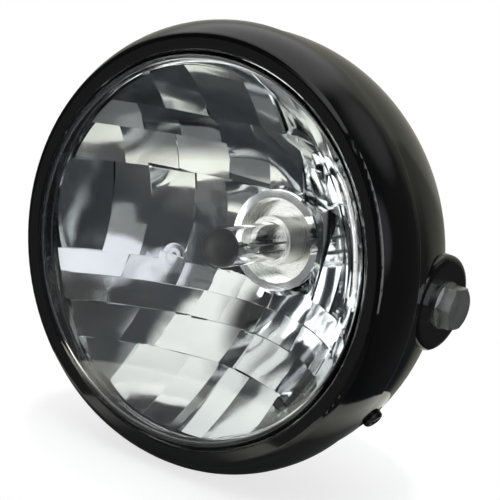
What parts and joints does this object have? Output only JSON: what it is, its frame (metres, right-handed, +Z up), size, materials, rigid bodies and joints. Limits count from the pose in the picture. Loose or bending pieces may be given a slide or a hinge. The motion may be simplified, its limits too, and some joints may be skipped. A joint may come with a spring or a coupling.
{
  "type": "round motorcycle headlight",
  "caption": "Round motorcycle headlight: black steel bucket and rim, clear domed lens, faceted reflector, halogen bulb and side mounting bolts.",
  "frame": {"origin": "where the optical axis crosses the line of the two side mounting bolts", "axes": "+X along the side bolts to the right as seen from the front, +Y back along the optical axis, +Z up"},
  "size_m": [0.2056, 0.1204, 0.1932],
  "materials": {
    "gloss_black_paint": "gloss",
    "zinc_plated_steel": "bright zinc plated",
    "black_zinc_steel": "satin black zinc",
    "spring_steel": "bright drawn",
    "black_rubber": "matte",
    "clear_lens": "clear gloss",
    "grey_sealant": "matte",
    "aluminised_reflector": "vapour-deposited aluminium under lacquer",
    "quartz_glass": "clear gloss",
    "bulb_nickel": "bright nickel",
    "bulb_insulator": "matte moulded",
    "tinned_brass": "tinned",
    "tungsten": "drawn"
  },
  "bodies": {
    "root": {"bucket": "gloss_black_paint", "side_bolts": "zinc_plated_steel", "side_washers": "zinc_plated_steel", "side_nuts": "zinc_plated_steel", "cable_grommet": "black_rubber", "bucket_seal": "black_rubber", "rim": "gloss_black_paint", "rim_hook": "zinc_plated_steel", "rim_tongues": "zinc_plated_steel", "rim_screws": "black_zinc_steel", "rim_washers": "black_zinc_steel", "rim_nuts": "zinc_plated_steel", "unit_clips": "zinc_plated_steel", "rim_gasket": "black_rubber", "lens": "clear_lens", "lens_sealant": "grey_sealant", "reflector": "aluminised_reflector", "bulb_glass": "quartz_glass", "bulb_base": "bulb_nickel", "bulb_insulator": "bulb_insulator", "bulb_contacts": "tinned_brass", "bulb_leads": "spring_steel", "bulb_filaments": "tungsten", "bulb_shield": "tungsten", "bulb_clip": "spring_steel", "clip_screws": "zinc_plated_steel", "dust_boot": "black_rubber"}
  },
  "joints": []
}
